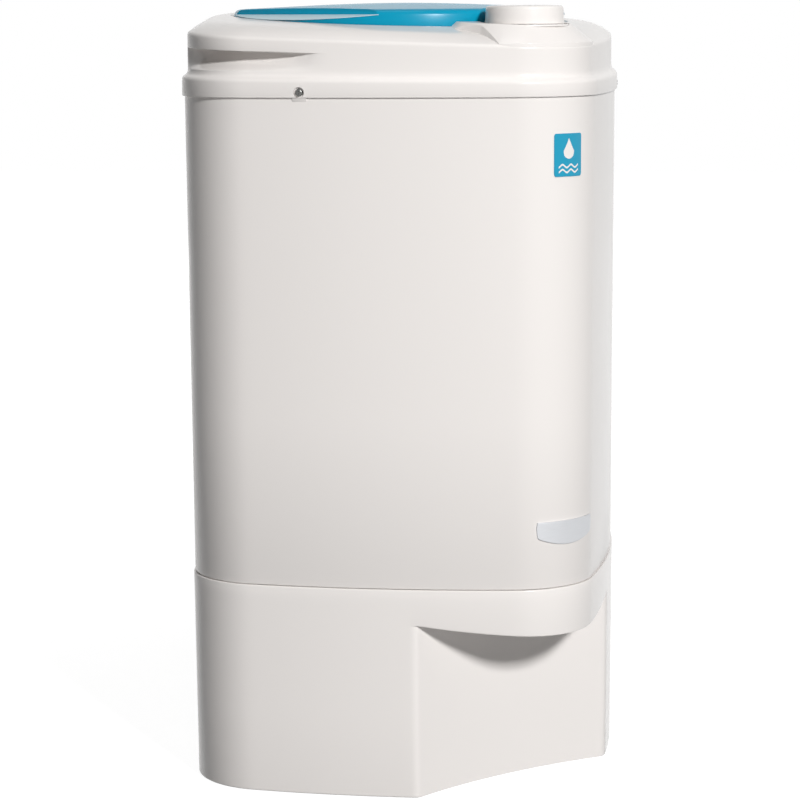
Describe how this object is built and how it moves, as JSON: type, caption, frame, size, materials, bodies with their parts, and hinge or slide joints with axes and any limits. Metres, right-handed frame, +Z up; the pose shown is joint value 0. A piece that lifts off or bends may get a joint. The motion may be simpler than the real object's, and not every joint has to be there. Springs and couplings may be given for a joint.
{
  "type": "laundry spin dryer",
  "caption": "Free-standing laundry spin dryer: rounded-square white casing, translucent lid, lock knob, spinning basket, and a drain under an overhanging front corner.",
  "frame": {"origin": "on the floor, under the middle of the casing, at the lowest face of the feet", "axes": "+Z up along the basket's axis; the casing's flat sides face X and Y; the front corner, with the knob above and the drain below, points to +X and -Y"},
  "size_m": [0.365, 0.365, 0.661],
  "materials": {
    "casing_white": "glossy",
    "inner_white": "satin",
    "lid_aqua": "glossy, translucent",
    "badge_silver": "satin",
    "label_cyan": "glossy",
    "plated_steel": "satin",
    "stainless": "bright",
    "bearing_steel": "polished",
    "cast_aluminium": "as cast",
    "core_steel": "varnished",
    "copper_wire": "enamelled",
    "black_rubber": "matt",
    "brake_lining": "matt",
    "black_plastic": "matt"
  },
  "bodies": {
    "casing": {"base_housing": "casing_white", "base_plate": "plated_steel", "feet": "black_rubber", "base_screws": "plated_steel", "body_shell": "casing_white", "top_cover": "casing_white", "cover_screws": "plated_steel", "badge_plate": "badge_silver", "label_panel": "label_cyan", "neck_ring": "inner_white", "neck_collar": "inner_white", "tub_gasket": "black_rubber", "outer_tub": "inner_white", "drain_spout": "inner_white", "support_deck": "inner_white", "suspension_mounts": "black_rubber", "motor_plate": "plated_steel", "mount_bolts": "plated_steel", "upper_bell": "cast_aluminium", "lower_bell": "cast_aluminium", "stator": "core_steel", "windings": "copper_wire", "upper_bearing": "bearing_steel", "lower_bearing": "bearing_steel", "motor_bolts": "plated_steel", "shaft_seal": "black_rubber", "capacitor": "inner_white", "capacitor_clamp": "plated_steel", "terminal_block": "black_plastic", "cord_gland": "black_rubber", "brake_cable": "black_rubber", "brake_pivot": "plated_steel", "knob_ring": "casing_white", "interlock_switch": "black_plastic", "hinge_bracket": "casing_white", "hinge_pin": "stainless"},
    "lid": {"lid_panel": "lid_aqua"},
    "knob": {"lock_knob": "casing_white", "knob_shaft": "stainless", "lock_cam": "inner_white"},
    "plunger": {"switch_plunger": "lid_aqua"},
    "brake": {"brake_lever": "plated_steel", "brake_shoe": "brake_lining"},
    "spinner": {"basket_wall": "stainless", "basket_floor": "stainless", "balance_ring": "inner_white", "hub_nut": "plated_steel", "motor_shaft": "stainless", "rotor": "core_steel", "cooling_fan": "inner_white", "brake_drum": "plated_steel"}
  },
  "joints": [
    {"name": "lid_hinge", "type": "hinge", "parent": "casing", "child": "lid", "pos_m": [-0.11384, 0.11384, 0.653], "axis": [-0.7071, -0.7071, 0], "range_deg": [0, 95]},
    {"name": "knob_turn", "type": "hinge", "parent": "casing", "child": "knob", "pos_m": [0.11455, -0.11455, 0.65], "axis": [0, 0, 1], "range_deg": [0, 90]},
    {"name": "plunger_slide", "type": "slide", "parent": "casing", "child": "plunger", "axis": [-0.7071, -0.7071, 0], "range_m": [0, 0.003]},
    {"name": "brake_swing", "type": "hinge", "parent": "casing", "child": "brake", "pos_m": [-0.062, -0.056, 0.19], "axis": [0, 0, 1], "range_deg": [0, 5]},
    {"name": "basket_spin", "type": "hinge", "parent": "casing", "child": "spinner", "pos_m": [0, 0, 0.3], "axis": [0, 0, 1], "continuous": true}
  ],
  "couplings": [
    {"joint": "plunger_slide", "follows": "knob_turn", "m_per_rad": 0.0019098},
    {"joint": "brake_swing", "follows": "knob_turn", "ratio": 0.055555}
  ]
}
